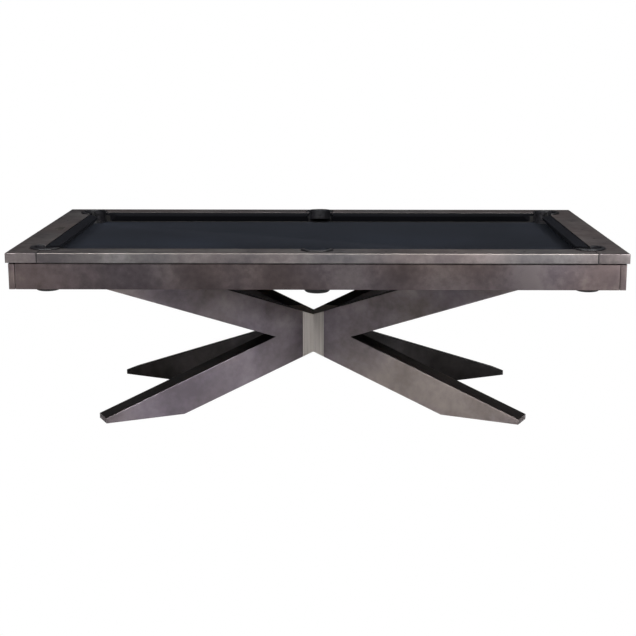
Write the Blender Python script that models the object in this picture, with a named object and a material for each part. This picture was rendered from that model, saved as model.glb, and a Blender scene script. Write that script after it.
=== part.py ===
"""Pool table with six drop pockets, on a splayed base of welded steel legs.

Units are metres and +Z is up. The origin is on the floor under the middle of the table, +X runs
along its length, and -Y is its front. Every object is one physical piece. A piece that touches
another keeps FIT_GAP to it.
"""

import math

import bmesh
import bpy
from mathutils import Matrix, Vector

# Playing field: from cushion nose to cushion nose, and from the floor to the top of the cloth.
PLAY_LENGTH = 2.235
PLAY_WIDTH = 1.118
BED_HEIGHT = 0.755
FIT_GAP = 0.0003

# Rails: the cushion in front, then the steel cap. Heights are above the bed.
CUSHION_REACH = 0.049
CAP_WIDTH = 0.129
CAP_TOP = 0.047
CAP_DEPTH = 0.0407
CAP_SHEET = 0.003
NOSE_HEIGHT = 0.0365
NOSE_RADIUS = 0.003
CUSHION_TOP_NOSE = 0.0405
CUSHION_TOP_BACK = 0.0455
CUSHION_HEEL = 0.006
SUBRAIL_LEDGE = 0.020
SUBRAIL_LEDGE_HEIGHT = 0.033
CORE_LAP = 0.003

# Pockets. A setback runs from the nose line out to the middle of the pocket.
POCKET_RADIUS = 0.058
CORNER_SETBACK = 0.032
SIDE_SETBACK = 0.071
CORNER_MOUTH = 0.117
SIDE_MOUTH = 0.130
CORNER_CUT = math.radians(142)
SIDE_CUT = math.radians(104)
LINER_WALL = 0.004
LINER_LIFT = 0.0008
RIM_LIP = 0.014
RIM_HEIGHT = 0.009
RIM_END_GAP = 0.006
CUP_SLACK = 0.0015
CUP_WALL = 0.003
CUP_DEPTH = 0.106
CUP_FLANGE = 0.0115
CUP_CORNER = 0.010
CUP_COLLAR_DROP = 0.002
THROAT_CLEARANCE = 0.0012

# Slate, cloth and the wooden frame under them.
CLOTH_THICKNESS = 0.001
SLATE_THICKNESS = 0.0254
SLATE_MARGIN = 0.1015
SLATE_COUNT = 3
FRAME_DEPTH = 0.0844
FRAME_BEAM_WIDTH = 0.050
CROSS_BEAM_WIDTH = 0.090
CUP_CLEARANCE = 0.007

# Aprons: folded steel trays that hang under the caps.
APRON_INSET = 0.010
APRON_HEIGHT = 0.1095
APRON_FOLD = 0.0254
APRON_SHEET = 0.003
SHADOW_GAP = 0.004
CORE_RELIEF = 0.001

# Base: four Y-shaped box legs that meet at a hub. The feet stand in from the table's edges, and
# the whole base stands a little to the left of the table's middle.
BASE_SHIFT = -0.024
TIP_INSET_X = 0.3601
TIP_INSET_Y = 0.2848
LEG_THICKNESS = 0.104
LEG_WALL = 0.006
SOLE_LENGTH = 0.367
TIP_HEIGHT = 0.0235
CROTCH_REACH = 0.2193
WAIST_HEIGHT = 0.1634
HUB_SEAM = 0.048
PLATE_THICKNESS = 0.008
PLATE_MARGIN = 0.030

# Levelling feet, screwed up into the soles.
LEVELLER_FROM_TIP = 0.139
LEVELLER_PAD_RADIUS = 0.022
LEVELLER_PAD_THICKNESS = 0.006
LEVELLER_LIFT = 0.001
LEVELLER_STEM_RADIUS = 0.008
LEVELLER_STEM_SHOWS = 0.015
LEVELLER_HEADROOM = 0.009
LEVELLER_BOSS_RADIUS = 0.032
LEVELLER_RECESS_SLACK = 0.003

# Blank nameplate on the left end cap.
NAMEPLATE_LENGTH = 0.100
NAMEPLATE_WIDTH = 0.028
NAMEPLATE_THICKNESS = 0.001
NAMEPLATE_FROM_INNER_EDGE = 0.043

ARC_STEPS = 14
TURN = 2 * math.pi

# Worked out from the sizes above.
RAIL_WIDTH = CUSHION_REACH + CAP_WIDTH
TABLE_LENGTH = PLAY_LENGTH + 2 * RAIL_WIDTH
TABLE_WIDTH = PLAY_WIDTH + 2 * RAIL_WIDTH
CAP_HEIGHT = BED_HEIGHT + CAP_TOP
SLATE_TOP = BED_HEIGHT - CLOTH_THICKNESS - FIT_GAP
SLATE_UNDERSIDE = SLATE_TOP - SLATE_THICKNESS
FRAME_TOP = SLATE_UNDERSIDE - FIT_GAP
FRAME_UNDERSIDE = FRAME_TOP - FRAME_DEPTH
BASE_HEIGHT = FRAME_UNDERSIDE - PLATE_THICKNESS - 2 * FIT_GAP
APRON_TOP = CAP_HEIGHT - CAP_DEPTH - SHADOW_GAP
APRON_UNDERSIDE = APRON_TOP - APRON_HEIGHT
THROAT_RADIUS = POCKET_RADIUS + THROAT_CLEARANCE
TIP = Vector((TABLE_LENGTH / 2 - TIP_INSET_X, TABLE_WIDTH / 2 - TIP_INSET_Y, 0))
LEG_REACH = TIP.length
LEG_ANGLE = math.atan2(TIP.y, TIP.x)
LEG_MIDDLE = BASE_HEIGHT / 2
KINK_REACH = LEG_REACH - SOLE_LENGTH
OUTER_SLOPE = (LEG_MIDDLE - WAIST_HEIGHT / 2) / KINK_REACH
INNER_SLOPE = (LEG_MIDDLE - TIP_HEIGHT) / (LEG_REACH - CROTCH_REACH)
PLATE_REACH = LEG_REACH - SOLE_LENGTH / 2
STEM_CEILING = TIP_HEIGHT + INNER_SLOPE * (LEVELLER_FROM_TIP - LEVELLER_STEM_RADIUS) - LEG_WALL
STEM_TOP = STEM_CEILING - LEVELLER_HEADROOM
BOSS_TOP = STEM_TOP - LEVELLER_STEM_SHOWS

# Sides of the table: the turn that carries a rail's own +Y to the outside, and its half length.
SIDES = {
    "rear": (0, PLAY_LENGTH / 2, PLAY_WIDTH / 2),
    "front": (math.pi, PLAY_LENGTH / 2, PLAY_WIDTH / 2),
    "left": (math.pi / 2, PLAY_WIDTH / 2, PLAY_LENGTH / 2),
    "right": (-math.pi / 2, PLAY_WIDTH / 2, PLAY_LENGTH / 2),
}
QUARTERS = {"front_left": (-1, -1), "front_right": (1, -1), "rear_left": (-1, 1), "rear_right": (1, 1)}


def clear_scene():
    """Remove every object that the file opened with."""
    for obj in list(bpy.data.objects):
        bpy.data.objects.remove(obj, do_unlink=True)


def finish(name, colour, roughness, metallic):
    """A Principled BSDF material of one plain finish."""
    material = bpy.data.materials.new(name)
    material.use_nodes = True
    shader = material.node_tree.nodes["Principled BSDF"]
    shader.inputs["Base Color"].default_value = (*colour, 1)
    shader.inputs["Roughness"].default_value = roughness
    shader.inputs["Metallic"].default_value = metallic
    return material


def guide(name, location=(0, 0, 0), turn=0.0):
    """An empty that carries a group of pieces, turned about the vertical."""
    empty = bpy.data.objects.new(name, None)
    empty.location = location
    empty.rotation_euler.z = turn
    bpy.context.scene.collection.objects.link(empty)
    return empty


def piece(name, solid, material, parent=None, location=(0, 0, 0), turn=0.0):
    """Turn a bmesh solid into a named object under its guide."""
    bmesh.ops.recalc_face_normals(solid, faces=solid.faces)
    mesh = bpy.data.meshes.new(name)
    solid.to_mesh(mesh)
    solid.free()
    mesh.materials.append(material)
    obj = bpy.data.objects.new(name, mesh)
    obj.parent = parent
    obj.location = location
    obj.rotation_euler.z = turn
    bpy.context.scene.collection.objects.link(obj)
    return obj


def tool(name, solid, parent=None, location=(0, 0, 0), turn=0.0):
    """A hidden solid that cuts or joins other pieces."""
    obj = piece(name, solid, STEEL, parent, location, turn)
    obj.hide_render = True
    obj.display_type = "WIRE"
    return obj


def apply_tool(target, cutter, operation="DIFFERENCE"):
    """Cut a piece with a tool, or join the tool to it."""
    modifier = target.modifiers.new(cutter.name, "BOOLEAN")
    modifier.operation = operation
    modifier.object = cutter
    modifier.solver = "EXACT"


def shade_round(obj, angle=math.radians(30)):
    """Smooth shading with the real edges kept sharp."""
    obj.data.shade_smooth()
    obj.data.set_sharp_from_angle(angle=angle)


def between(ring_a, ring_b):
    """The solid between two outlines that have the same number of corners."""
    solid = bmesh.new()
    first = [solid.verts.new(point) for point in ring_a]
    second = [solid.verts.new(point) for point in ring_b]
    count = len(first)
    solid.faces.new(first)
    solid.faces.new(list(reversed(second)))
    for i in range(count):
        j = (i + 1) % count
        solid.faces.new((first[j], first[i], second[i], second[j]))
    return solid


def upright(outline, low, high):
    """A flat outline of (x, y) corners raised from one height to another."""
    return between([(x, y, low) for x, y in outline], [(x, y, high) for x, y in outline])


def block(x_range, y_range, z_range):
    """A plain box between three pairs of limits."""
    (x0, x1), (y0, y1) = x_range, y_range
    return upright([(x0, y0), (x1, y0), (x1, y1), (x0, y1)], *z_range)


def round_bar(radius, low, high):
    """A cylinder about the vertical axis."""
    steps = 2 * ARC_STEPS
    outline = [(radius * math.cos(TURN * i / steps), radius * math.sin(TURN * i / steps))
               for i in range(steps)]
    return upright(outline, low, high)


def turned(profile, sweep=TURN):
    """A closed profile of (radius, height) corners spun about the vertical axis."""
    solid = bmesh.new()
    corners = [solid.verts.new((0, radius, height)) for radius, height in profile]
    face = solid.faces.new(corners)
    whole = math.isclose(sweep, TURN)
    start = list(face.edges) + corners
    if whole:
        solid.faces.remove(face)
    else:
        start.append(face)
        bmesh.ops.rotate(solid, verts=corners, cent=(0, 0, 0), matrix=Matrix.Rotation(-sweep / 2, 3, "Z"))
    bmesh.ops.spin(solid, geom=start, cent=(0, 0, 0), axis=(0, 0, 1), angle=sweep,
                   steps=2 * ARC_STEPS, use_merge=whole, use_duplicate=False)
    bmesh.ops.remove_doubles(solid, verts=solid.verts, dist=1e-6)
    return solid


def inset(outline, wall):
    """The outline moved inwards by a wall; corners run anticlockwise and stay mitred."""
    corners = [Vector(corner) for corner in outline]
    count = len(corners)
    moved = []
    for i, corner in enumerate(corners):
        before = (corner - corners[i - 1]).normalized()
        after = (corners[(i + 1) % count] - corner).normalized()
        normal_before = Vector((-before.y, before.x))
        normal_after = Vector((-after.y, after.x))
        mitre = (normal_before + normal_after).normalized()
        moved.append(tuple(corner + mitre * (wall / mitre.dot(normal_after))))
    return moved


# ---------------------------------------------------------------------------- base

def end_of_leg(across):
    """Where a leg starts, along its own axis: the slanted plane from hub seam to inner corner."""
    half = LEG_THICKNESS / 2
    seam_y = half / math.cos(LEG_ANGLE) + HUB_SEAM * math.tan(LEG_ANGLE)
    outer_start = HUB_SEAM * math.cos(LEG_ANGLE) + seam_y * math.sin(LEG_ANGLE)
    inner_start = half / math.tan(LEG_ANGLE)
    return (outer_start + inner_start) / 2 + (outer_start - inner_start) * across / LEG_THICKNESS


def leg_outline(start):
    """A leg from the side: a waist at the hub, then one arm to the floor and one to the frame."""
    low_start = LEG_MIDDLE - WAIST_HEIGHT / 2 - OUTER_SLOPE * start
    lower = [(start, low_start), (KINK_REACH, 0), (LEG_REACH, 0), (LEG_REACH, TIP_HEIGHT)]
    upper = [(reach, BASE_HEIGHT - height) for reach, height in reversed(lower)]
    return lower + [(CROTCH_REACH, LEG_MIDDLE)] + upper


def leg_solid(hand, shrink=0.0):
    """A leg's block, or with a wall to shrink by, the hollow inside it."""
    rings = []
    for side in (-1, 1):
        across = side * (LEG_THICKNESS / 2 - shrink)
        outline = leg_outline(end_of_leg(across) + FIT_GAP * 2)
        if shrink:
            outline = inset(outline, shrink)
        rings.append([(reach, hand * across, height) for reach, height in outline])
    return between(*rings)


def make_hub():
    """The junction piece: its faces carry on the planes of all four legs."""
    half = LEG_THICKNESS / 2
    valley = half / math.cos(LEG_ANGLE)
    seam = (HUB_SEAM, valley + HUB_SEAM * math.tan(LEG_ANGLE))
    corner = half / math.sin(LEG_ANGLE)
    outline = [(0, -valley), (seam[0], -seam[1]), (corner, 0), seam,
               (0, valley), (-seam[0], seam[1]), (-corner, 0), (-seam[0], -seam[1])]

    def rise(x, y):
        along = abs(x) * math.cos(LEG_ANGLE) + abs(y) * math.sin(LEG_ANGLE)
        return WAIST_HEIGHT / 2 + OUTER_SLOPE * along

    def shell(corners, top_drop, bottom_rise):
        solid = bmesh.new()
        rings = []
        for sign, shift in ((1, -top_drop), (-1, bottom_rise)):
            middle = solid.verts.new((0, 0, LEG_MIDDLE + sign * rise(0, 0) + shift))
            ring = [solid.verts.new((x, y, LEG_MIDDLE + sign * rise(x, y) + shift)) for x, y in corners]
            rings.append(ring)
            # A quarter's facet runs from a valley or an inner corner, over the seam, to the next.
            for i in range(0, len(ring), 2):
                solid.faces.new((middle, ring[i], ring[i + 1], ring[(i + 2) % len(ring)]))
        top, bottom = rings
        for i in range(len(top)):
            j = (i + 1) % len(top)
            solid.faces.new((top[i], bottom[i], bottom[j], top[j]))
        return solid

    middle = (BASE_SHIFT, 0, 0)
    hub = piece("base_hub", shell(outline, 0, 0), BRUSHED, location=middle)
    cavity = tool("base_hub_cavity", shell(inset(outline, LEG_WALL), LEG_WALL, -LEG_WALL),
                  location=middle)
    apply_tool(hub, cavity)


def make_leg(quarter):
    """One leg with its hollow, its levelling foot and its mounting plate."""
    sx, sy = QUARTERS[quarter]
    turn = math.atan2(sy * math.sin(LEG_ANGLE), sx * math.cos(LEG_ANGLE))
    axis = guide("leg_axis_" + quarter, (BASE_SHIFT, 0, 0), turn)
    hand = sx * sy
    leg = piece("leg_" + quarter, leg_solid(hand), STEEL, axis)
    apply_tool(leg, tool("leg_cavity_" + quarter, leg_solid(hand, LEG_WALL), axis))

    screw = guide("leveller_axis_" + quarter, (LEG_REACH - LEVELLER_FROM_TIP, 0, 0))
    screw.parent = axis
    pad_top = LEVELLER_LIFT + LEVELLER_PAD_THICKNESS
    recess_top = pad_top + FIT_GAP
    bore = LEVELLER_STEM_RADIUS + FIT_GAP
    recess = LEVELLER_PAD_RADIUS + LEVELLER_RECESS_SLACK
    boss = round_bar(LEVELLER_BOSS_RADIUS, LEG_WALL / 2, BOSS_TOP)
    apply_tool(leg, tool("leveller_boss_" + quarter, boss, screw), "UNION")
    well = turned([(0, -LEG_WALL), (recess, -LEG_WALL), (recess, recess_top), (bore, recess_top),
                   (bore, BOSS_TOP + LEG_WALL), (0, BOSS_TOP + LEG_WALL)])
    apply_tool(leg, tool("leveller_well_" + quarter, well, screw))

    pad, stem = LEVELLER_PAD_RADIUS, LEVELLER_STEM_RADIUS
    foot = turned([(0, LEVELLER_LIFT), (pad, LEVELLER_LIFT), (pad, pad_top), (stem, pad_top),
                   (stem, STEM_TOP), (0, STEM_TOP)])
    shade_round(piece("levelling_foot_" + quarter, foot, ZINC, screw))

    half_length = SOLE_LENGTH / 2 - PLATE_MARGIN
    plate_low = BASE_HEIGHT + FIT_GAP
    plate = block((PLATE_REACH - half_length, PLATE_REACH + half_length),
                  (-LEG_THICKNESS / 2, LEG_THICKNESS / 2), (plate_low, plate_low + PLATE_THICKNESS))
    piece("mounting_plate_" + quarter, plate, STEEL, axis)


# ---------------------------------------------------------------------------- frame and slate

def make_frame():
    """Laminated beams: two long ones, two at the ends and four across."""
    low, high = FRAME_UNDERSIDE, FRAME_TOP
    cup_edge = POCKET_RADIUS - CUP_SLACK + CUP_FLANGE + CUP_CLEARANCE
    long_y = PLAY_WIDTH / 2 + SIDE_SETBACK - cup_edge
    end_x = PLAY_LENGTH / 2 + CORNER_SETBACK - cup_edge
    for name, side in (("frame_beam_front", -1), ("frame_beam_rear", 1)):
        middle = side * (long_y - FRAME_BEAM_WIDTH / 2)
        half_length = end_x - FRAME_BEAM_WIDTH - FIT_GAP
        beam = block((-half_length, half_length), (-FRAME_BEAM_WIDTH / 2, FRAME_BEAM_WIDTH / 2),
                     (low, high))
        piece(name, beam, WOOD, location=(0, middle, 0))
    for name, side in (("frame_end_left", -1), ("frame_end_right", 1)):
        beam = block((-FRAME_BEAM_WIDTH / 2, FRAME_BEAM_WIDTH / 2), (-long_y, long_y), (low, high))
        piece(name, beam, WOOD, location=(side * (end_x - FRAME_BEAM_WIDTH / 2), 0, 0))
    seam_x = (PLAY_LENGTH / 2 + SLATE_MARGIN) / SLATE_COUNT
    plate_x = PLATE_REACH * math.cos(LEG_ANGLE)
    reach = long_y - FRAME_BEAM_WIDTH - FIT_GAP
    for name, x in (("cross_beam_far_left", BASE_SHIFT - plate_x), ("cross_beam_near_left", -seam_x),
                    ("cross_beam_near_right", seam_x), ("cross_beam_far_right", BASE_SHIFT + plate_x)):
        beam = block((-CROSS_BEAM_WIDTH / 2, CROSS_BEAM_WIDTH / 2), (-reach, reach), (low, high))
        piece(name, beam, WOOD, location=(x, 0, 0))


def notch_outline(radius, reach):
    """A pocket's cut-out in the slate: half a circle, then straight out past the edge."""
    arc = [(radius * math.cos(math.pi * i / ARC_STEPS), -radius * math.sin(math.pi * i / ARC_STEPS))
           for i in range(ARC_STEPS + 1)]
    return [(radius, reach)] + arc + [(-radius, reach)]


def make_slate():
    """Three slate slabs end to end, and the cloth stretched over all of them."""
    length = PLAY_LENGTH + 2 * SLATE_MARGIN
    half_width = PLAY_WIDTH / 2 + SLATE_MARGIN
    slab = length / SLATE_COUNT
    notches = {name: tool("notch_" + name, upright(notch_outline(POCKET_RADIUS, 3 * POCKET_RADIUS),
                                                   SLATE_UNDERSIDE - SLATE_THICKNESS,
                                                   BED_HEIGHT + CLOTH_THICKNESS), pocket)
               for name, pocket in POCKETS.items()}
    for index, name in enumerate(("slate_left", "slate_middle", "slate_right")):
        start = -length / 2 + index * slab
        solid = block((FIT_GAP / 2, slab - FIT_GAP / 2), (-half_width, half_width),
                      (SLATE_UNDERSIDE, SLATE_TOP))
        slate = piece(name, solid, SLATE, location=(start, 0, 0))
        for pocket, notch in notches.items():
            if pocket.split("_")[1] == name.split("_")[1]:
                apply_tool(slate, notch)
    cloth = piece("bed_cloth", block((-length / 2, length / 2), (-half_width, half_width),
                                     (BED_HEIGHT - CLOTH_THICKNESS, BED_HEIGHT)), CLOTH)
    for notch in notches.values():
        apply_tool(cloth, notch)


# ---------------------------------------------------------------------------- rails

def facing_ends(half_length, split):
    """Where a cushion's two cut ends lie, as a function of the depth behind its nose."""
    corner_nose = half_length - CORNER_MOUTH / math.sqrt(2)
    corner_run = 1 / math.tan(math.pi - CORNER_CUT)
    side_run = 1 / math.tan(math.pi - SIDE_CUT)

    def ends(depth):
        corner_end = corner_nose + depth * corner_run
        near_end = SIDE_MOUTH / 2 - depth * side_run if split else -corner_end
        return near_end, corner_end

    return ends


def rail_bar(section, ends, hand=1):
    """A bar along a rail: a section of (depth, height) corners between two ends."""
    first = [(hand * ends(depth)[0], depth, height) for depth, height in section]
    second = [(hand * ends(depth)[1], depth, height) for depth, height in section]
    return between(first, second)


def cushion_section():
    """Rubber cushion under its cloth: a rounded nose, an undercut face and a flat back."""
    back = CUSHION_REACH - SUBRAIL_LEDGE - FIT_GAP
    nose = [(NOSE_RADIUS * (1 - math.cos(angle)), NOSE_HEIGHT + NOSE_RADIUS * math.sin(angle))
            for angle in (math.radians(-60), math.radians(-30), 0, math.radians(30), math.radians(60))]
    reach = CUSHION_REACH - FIT_GAP
    return nose + [(2 * NOSE_RADIUS, CUSHION_TOP_NOSE), (reach, CUSHION_TOP_BACK),
                   (reach, SUBRAIL_LEDGE_HEIGHT + FIT_GAP), (back, SUBRAIL_LEDGE_HEIGHT + FIT_GAP),
                   (back, CUSHION_HEEL)]


def make_rail_half(name, axis, half_length, split, hand):
    """A wooden rail core and its cushion, between two pockets."""
    ends = facing_ends(half_length, split)
    piece("cushion_" + name, rail_bar(cushion_section(), ends, hand), CLOTH, axis)

    apron_face = RAIL_WIDTH - APRON_INSET - APRON_FOLD - CORE_RELIEF
    relief = APRON_TOP - BED_HEIGHT + CORE_RELIEF
    outside = RAIL_WIDTH - CAP_SHEET - FIT_GAP
    inside = CUSHION_REACH + FIT_GAP
    ceiling = CAP_TOP - CAP_SHEET - FIT_GAP
    section = [(inside, FIT_GAP), (apron_face, FIT_GAP), (apron_face, relief), (outside, relief),
               (outside, ceiling), (inside, ceiling)]
    if split:
        far = half_length + CUSHION_REACH - CAP_SHEET - 2 * FIT_GAP
        core = rail_bar(section, lambda depth: (FIT_GAP / 2, far), hand)
    else:
        far = half_length + apron_face
        core = rail_bar(section, lambda depth: (-far, far))
    core = piece("rail_core_" + name, core, WOOD, axis)
    ledge_front = CUSHION_REACH - SUBRAIL_LEDGE
    ledge_section = [(ledge_front, FIT_GAP), (inside + CORE_LAP, FIT_GAP),
                     (inside + CORE_LAP, SUBRAIL_LEDGE_HEIGHT), (ledge_front, SUBRAIL_LEDGE_HEIGHT)]
    apply_tool(core, tool("ledge_" + name, rail_bar(ledge_section, ends, hand), axis), "UNION")
    return core


def make_cap(name, axis, half_span):
    """A folded and welded steel cap: a top, an outer flange and two closed ends."""
    outer = block((-half_span, half_span), (CUSHION_REACH, RAIL_WIDTH), (CAP_TOP - CAP_DEPTH, CAP_TOP))
    inner_span = half_span - CAP_SHEET
    inner = block((-inner_span, inner_span), (0, RAIL_WIDTH - CAP_SHEET),
                  (-CAP_DEPTH, CAP_TOP - CAP_SHEET))
    cap = piece(name, outer, STEEL, axis)
    apply_tool(cap, tool(name + "_inside", inner, axis))
    return cap


def make_apron(name, axis, half_span):
    """A folded steel tray that closes the side of the table under the cap, open at its back."""
    top = APRON_TOP - BED_HEIGHT
    bottom = APRON_UNDERSIDE - BED_HEIGHT
    face = RAIL_WIDTH - APRON_INSET
    outer = block((-half_span, half_span), (face - APRON_FOLD, face), (bottom, top))
    inner = block((-half_span + APRON_SHEET, half_span - APRON_SHEET),
                  (face - 2 * APRON_FOLD, face - APRON_SHEET), (bottom + APRON_SHEET, top - APRON_SHEET))
    apron = piece(name, outer, STEEL, axis)
    apply_tool(apron, tool(name + "_inside", inner, axis))


def make_rails():
    """Four rails, each with its cap, apron, cores and cushions, cut away round the pockets."""
    for side, (turn, half_length, offset) in SIDES.items():
        outward = Vector((-math.sin(turn), math.cos(turn), 0)) * offset
        axis = guide("rail_axis_" + side, (outward.x, outward.y, BED_HEIGHT), turn)
        long_side = side in ("front", "rear")
        if long_side:
            cap = make_cap("cap_" + side, axis, half_length + CUSHION_REACH - FIT_GAP)
            make_apron("apron_" + side, axis,
                       half_length + RAIL_WIDTH - APRON_INSET - APRON_FOLD - FIT_GAP)
            hands = {"left": -1, "right": 1} if side == "rear" else {"left": 1, "right": -1}
            cores = [make_rail_half(side + "_" + half, axis, half_length, True, hand)
                     for half, hand in hands.items()]
        else:
            cap = make_cap("cap_" + side, axis, half_length + RAIL_WIDTH)
            make_apron("apron_" + side, axis, half_length + RAIL_WIDTH - APRON_INSET)
            cores = [make_rail_half(side, axis, half_length, False, 1)]
        for pocket, cutter in THROATS.items():
            if side in pocket.split("_"):
                for part in [cap] + [core for core in cores if meets(core.name, pocket)]:
                    apply_tool(part, cutter)


def meets(core_name, pocket):
    """Whether a rail core reaches a pocket: the middle pockets touch both halves of a long rail."""
    words = core_name.split("_")[2:]
    row, column = pocket.split("_")
    return (row in words or column in words) and (column == "middle" or column in words)


# ---------------------------------------------------------------------------- pockets

def pocket_places():
    """The middle of each pocket, and the turn that carries its own +Y straight outwards."""
    corner_x = PLAY_LENGTH / 2 + CORNER_SETBACK
    corner_y = PLAY_WIDTH / 2 + CORNER_SETBACK
    middle_y = PLAY_WIDTH / 2 + SIDE_SETBACK
    places = {}
    for row, sy in (("front", -1), ("rear", 1)):
        for column, sx in (("left", -1), ("middle", 0), ("right", 1)):
            x, y = (sx * corner_x, sy * corner_y) if sx else (0, sy * middle_y)
            turn = math.atan2(-sx, sy)
            places[row + "_" + column] = (x, y, turn)
    return places


def make_pocket(name, pocket):
    """A rubber rim with its liner, and the cup: a bowl under the slate with a collar through it."""
    corner = not name.endswith("middle")
    lip = POCKET_RADIUS + RIM_LIP
    bore = POCKET_RADIUS - LINER_WALL
    seat = CAP_HEIGHT + FIT_GAP
    top = CAP_HEIGHT + RIM_HEIGHT
    edge = CUSHION_REACH - (CORNER_SETBACK if corner else SIDE_SETBACK)
    half_sweep = (math.pi / 4 if corner else 0) + math.acos(edge / lip) - RIM_END_GAP / lip
    low = BED_HEIGHT + LINER_LIFT
    profile = [(bore, low), (POCKET_RADIUS, low), (POCKET_RADIUS, seat), (lip - 0.5 * RIM_HEIGHT, seat),
               (lip, seat + 0.4 * RIM_HEIGHT), (lip - 0.15 * RIM_HEIGHT, seat + 0.75 * RIM_HEIGHT),
               (lip - 0.6 * RIM_HEIGHT, top), (bore + 0.4 * RIM_HEIGHT, top),
               (bore, top - 0.4 * RIM_HEIGHT)]
    rim = piece("pocket_rim_" + name, turned(profile, 2 * half_sweep), RUBBER, pocket)
    shade_round(rim)

    outer = POCKET_RADIUS - CUP_SLACK
    inner = outer - CUP_WALL
    ceiling = SLATE_UNDERSIDE - FIT_GAP
    floor = ceiling - CUP_DEPTH
    slant = CUP_CORNER * 0.3
    collar = BED_HEIGHT - CUP_COLLAR_DROP
    cup = [(0, floor), (outer - CUP_CORNER, floor), (outer - slant, floor + slant),
           (outer, floor + CUP_CORNER), (outer, ceiling - CUP_WALL),
           (outer + CUP_FLANGE, ceiling - CUP_WALL), (outer + CUP_FLANGE, ceiling), (outer, ceiling),
           (outer, collar), (inner, collar), (inner, floor + CUP_CORNER),
           (inner - slant, floor + CUP_WALL + slant), (inner - CUP_CORNER + CUP_WALL, floor + CUP_WALL),
           (0, floor + CUP_WALL)]
    shade_round(piece("pocket_cup_" + name, turned(cup), RUBBER, pocket))


def make_nameplate():
    """A blank plate let onto the left end cap."""
    x = -(PLAY_LENGTH / 2 + CUSHION_REACH + NAMEPLATE_FROM_INNER_EDGE)
    low = CAP_HEIGHT + FIT_GAP
    plate = block((-NAMEPLATE_WIDTH / 2, NAMEPLATE_WIDTH / 2),
                  (-NAMEPLATE_LENGTH / 2, NAMEPLATE_LENGTH / 2), (low, low + NAMEPLATE_THICKNESS))
    piece("nameplate", plate, BRUSHED, location=(x, 0, 0))


clear_scene()
STEEL = finish("patinated_steel", (0.115, 0.105, 0.100), 0.45, 0.85)
BRUSHED = finish("brushed_steel", (0.42, 0.40, 0.38), 0.35, 1.0)
ZINC = finish("zinc_plated_steel", (0.50, 0.50, 0.50), 0.40, 1.0)
WOOD = finish("laminated_wood", (0.42, 0.29, 0.17), 0.60, 0.0)
SLATE = finish("slate", (0.10, 0.11, 0.12), 0.80, 0.0)
CLOTH = finish("worsted_cloth", (0.022, 0.024, 0.030), 0.90, 0.0)
RUBBER = finish("black_rubber", (0.006, 0.006, 0.007), 0.35, 0.0)

POCKETS = {name: guide("pocket_axis_" + name, (x, y, 0), turn)
           for name, (x, y, turn) in pocket_places().items()}
THROATS = {name: tool("throat_" + name, round_bar(THROAT_RADIUS, BED_HEIGHT - RIM_HEIGHT,
                                                 CAP_HEIGHT + RIM_HEIGHT), pocket)
           for name, pocket in POCKETS.items()}

make_hub()
for quarter_name in QUARTERS:
    make_leg(quarter_name)
make_frame()
make_slate()
make_rails()
for pocket_name, pocket_guide in POCKETS.items():
    make_pocket(pocket_name, pocket_guide)
make_nameplate()
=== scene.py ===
"""Pool table with six drop pockets on a splayed steel base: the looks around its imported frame.

Lengths are in metres and the frame's axes hold throughout: +X runs along the table, -Y is its
front and +Z is up. Sections follow the table as it is put together, from the floor up.
"""

import math

import bmesh
import bpy
import numpy as np
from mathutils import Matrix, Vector


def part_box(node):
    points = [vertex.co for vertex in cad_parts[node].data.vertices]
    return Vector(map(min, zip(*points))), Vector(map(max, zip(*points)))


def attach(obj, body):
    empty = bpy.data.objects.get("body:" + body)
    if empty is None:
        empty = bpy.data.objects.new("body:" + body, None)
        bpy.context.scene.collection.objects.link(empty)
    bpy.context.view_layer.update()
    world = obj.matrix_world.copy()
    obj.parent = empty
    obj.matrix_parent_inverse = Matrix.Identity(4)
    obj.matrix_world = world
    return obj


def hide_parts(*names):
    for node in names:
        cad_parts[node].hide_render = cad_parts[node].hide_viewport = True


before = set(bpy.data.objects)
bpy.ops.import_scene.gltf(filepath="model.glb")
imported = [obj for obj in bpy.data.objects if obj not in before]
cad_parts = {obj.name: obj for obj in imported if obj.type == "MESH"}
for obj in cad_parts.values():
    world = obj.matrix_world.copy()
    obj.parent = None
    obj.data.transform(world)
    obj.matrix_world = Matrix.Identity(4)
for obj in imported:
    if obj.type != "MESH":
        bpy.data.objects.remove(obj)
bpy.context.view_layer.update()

# ------------------------------------------------------------------------------ base hub
# The hub is a welded box of 6 mm plate in the middle of the base. Its faces carry on the planes of
# the four legs. It was linished upright with an abrasive belt and left bright under clear lacquer.


def linear(code, alpha=1.0):
    """An sRGB hex colour as linear light: c/12.92 below 0.04045, else ((c+0.055)/1.055)^2.4."""
    channels = np.array([int(code[i:i + 2], 16) for i in (1, 3, 5)]) / 255
    light = np.where(channels < 0.04045, channels / 12.92, ((channels + 0.055) / 1.055) ** 2.4)
    return (*light.tolist(), alpha)


def add(tree, kind, inputs=None, stops=(), **settings):
    """Add one node. Settings are its own properties; inputs are values or the sockets to link; stops
    are a colour ramp's places and hex tones."""
    node = tree.nodes.new("ShaderNode" + kind)
    for name, value in settings.items():
        setattr(node, name, value)
    for name, value in (inputs or {}).items():
        if isinstance(value, bpy.types.NodeSocket):
            tree.links.new(value, node.inputs[name])
        else:
            node.inputs[name].default_value = value
    for _ in stops[2:]:
        node.color_ramp.elements.new(0.5)  # a ramp starts with two
    for index, (place, code) in enumerate(stops):
        node.color_ramp.elements[index].position = place
        node.color_ramp.elements[index].color = linear(code)
    return node


def bare_finish(name, **sockets):
    """A new material with its shader's constant sockets set. Gives the material, tree and shader."""
    material = bpy.data.materials.new(name)
    material.use_nodes = True
    shader = material.node_tree.nodes["Principled BSDF"]
    for socket, value in sockets.items():
        shader.inputs[socket.replace("_", " ")].default_value = value
    return material, material.node_tree, shader


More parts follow.
